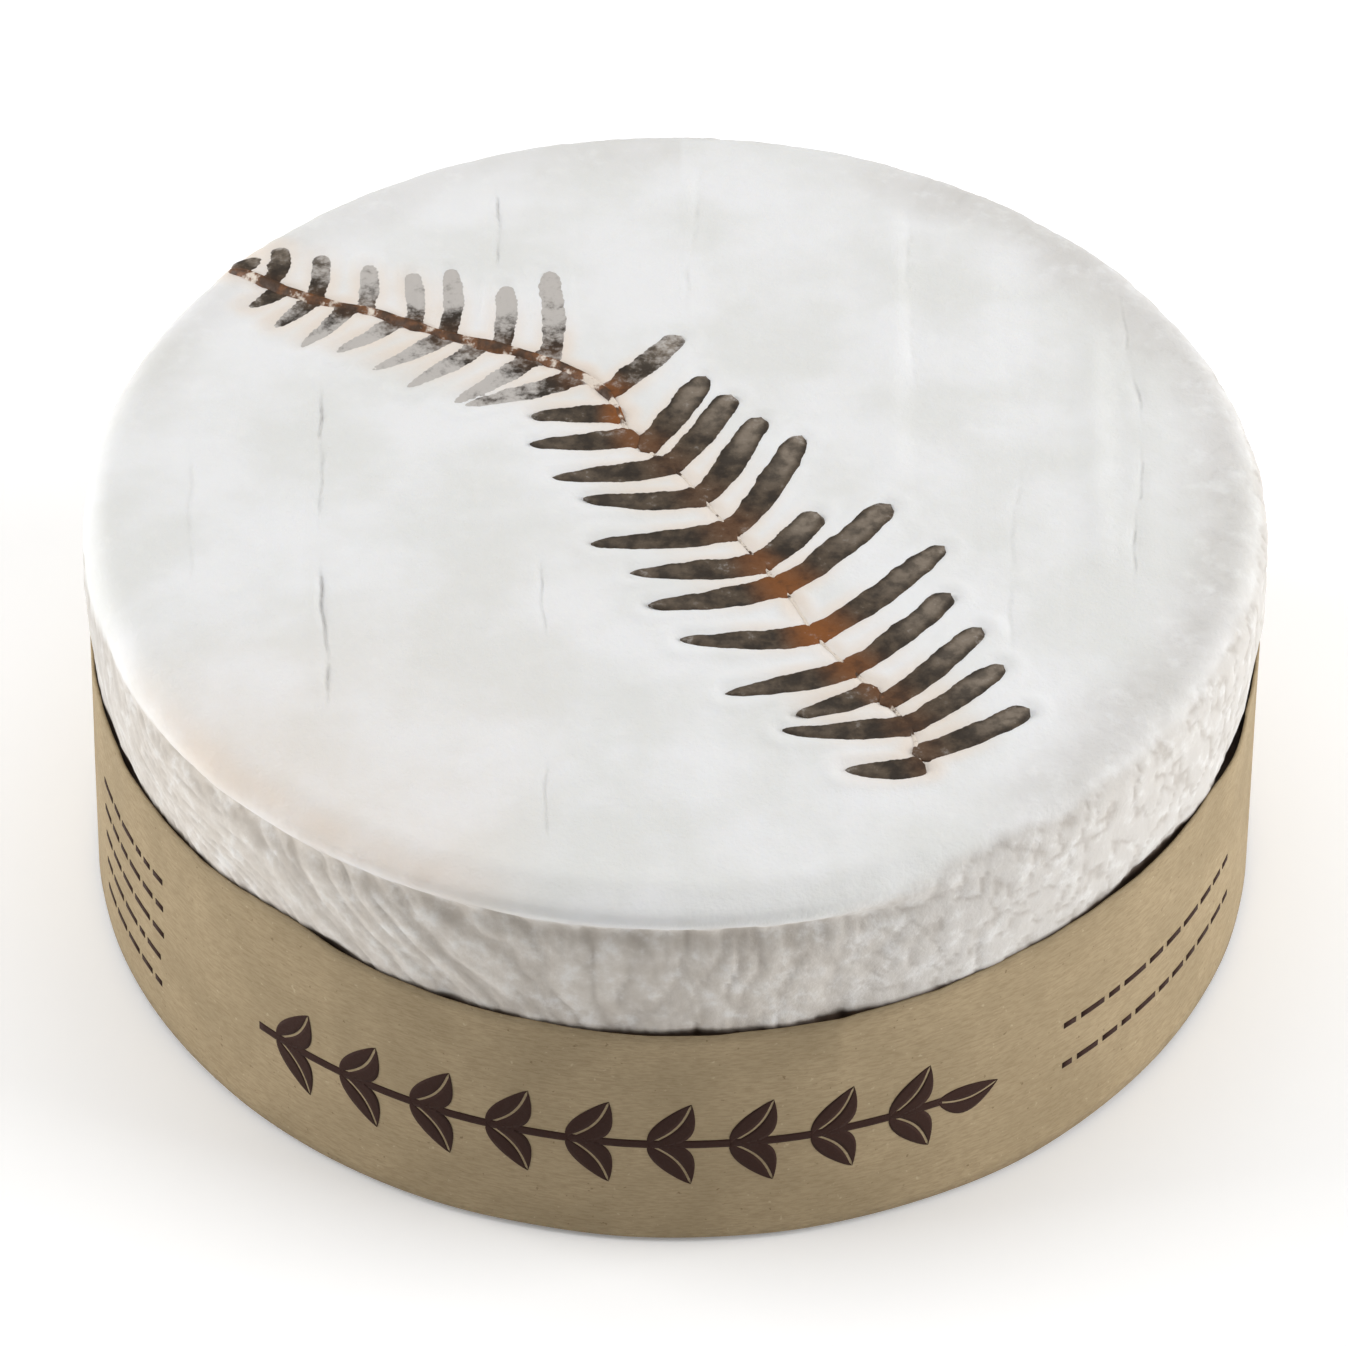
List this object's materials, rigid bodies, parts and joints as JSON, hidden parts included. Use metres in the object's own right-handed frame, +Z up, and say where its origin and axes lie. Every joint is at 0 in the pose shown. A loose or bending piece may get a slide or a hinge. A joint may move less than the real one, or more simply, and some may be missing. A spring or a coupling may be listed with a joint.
{
  "type": "cheese wheel",
  "caption": "Round soft-ripened cheese wheel with a white bloomy rind, a dried fern frond pressed into its top and a kraft-paper band with a plain leaf print.",
  "frame": {"origin": "centre of the flat base, on the surface the wheel rests on", "axes": "+Z up through the wheel's axis; the front of the paper band faces -Y; the frond's stalk end lies at +X -Y and its tip at -X +Y"},
  "size_m": [0.1306, 0.1306, 0.0543],
  "materials": {
    "rind": "velvety white mould bloom, matte, beige-grey where wrinkled on the side",
    "kraft_paper": "plain brown kraft paper, matte",
    "fern_stem": "dried orange-brown stalk, dull",
    "fern_leaf": "dried dark brown leaf, dull, frosted with mould towards the tip"
  },
  "bodies": {
    "root": {"cheese_wheel": "rind", "paper_band": "kraft_paper", "fern_stem": "fern_stem", "leaf_right_01": "fern_leaf", "leaf_right_02": "fern_leaf", "leaf_right_03": "fern_leaf", "leaf_right_04": "fern_leaf", "leaf_right_05": "fern_leaf", "leaf_right_06": "fern_leaf", "leaf_right_07": "fern_leaf", "leaf_right_08": "fern_leaf", "leaf_right_09": "fern_leaf", "leaf_right_10": "fern_leaf", "leaf_right_11": "fern_leaf", "leaf_right_12": "fern_leaf", "leaf_right_13": "fern_leaf", "leaf_right_14": "fern_leaf", "leaf_right_15": "fern_leaf", "leaf_right_16": "fern_leaf", "leaf_right_17": "fern_leaf", "leaf_right_18": "fern_leaf", "leaf_right_19": "fern_leaf", "leaf_right_20": "fern_leaf", "leaf_left_01": "fern_leaf", "leaf_left_02": "fern_leaf", "leaf_left_03": "fern_leaf", "leaf_left_04": "fern_leaf", "leaf_left_05": "fern_leaf", "leaf_left_06": "fern_leaf", "leaf_left_07": "fern_leaf", "leaf_left_08": "fern_leaf", "leaf_left_09": "fern_leaf", "leaf_left_10": "fern_leaf", "leaf_left_11": "fern_leaf", "leaf_left_12": "fern_leaf", "leaf_left_13": "fern_leaf", "leaf_left_14": "fern_leaf", "leaf_left_15": "fern_leaf", "leaf_left_16": "fern_leaf", "leaf_left_17": "fern_leaf", "leaf_left_18": "fern_leaf", "leaf_left_19": "fern_leaf", "leaf_left_20": "fern_leaf"}
  },
  "joints": []
}
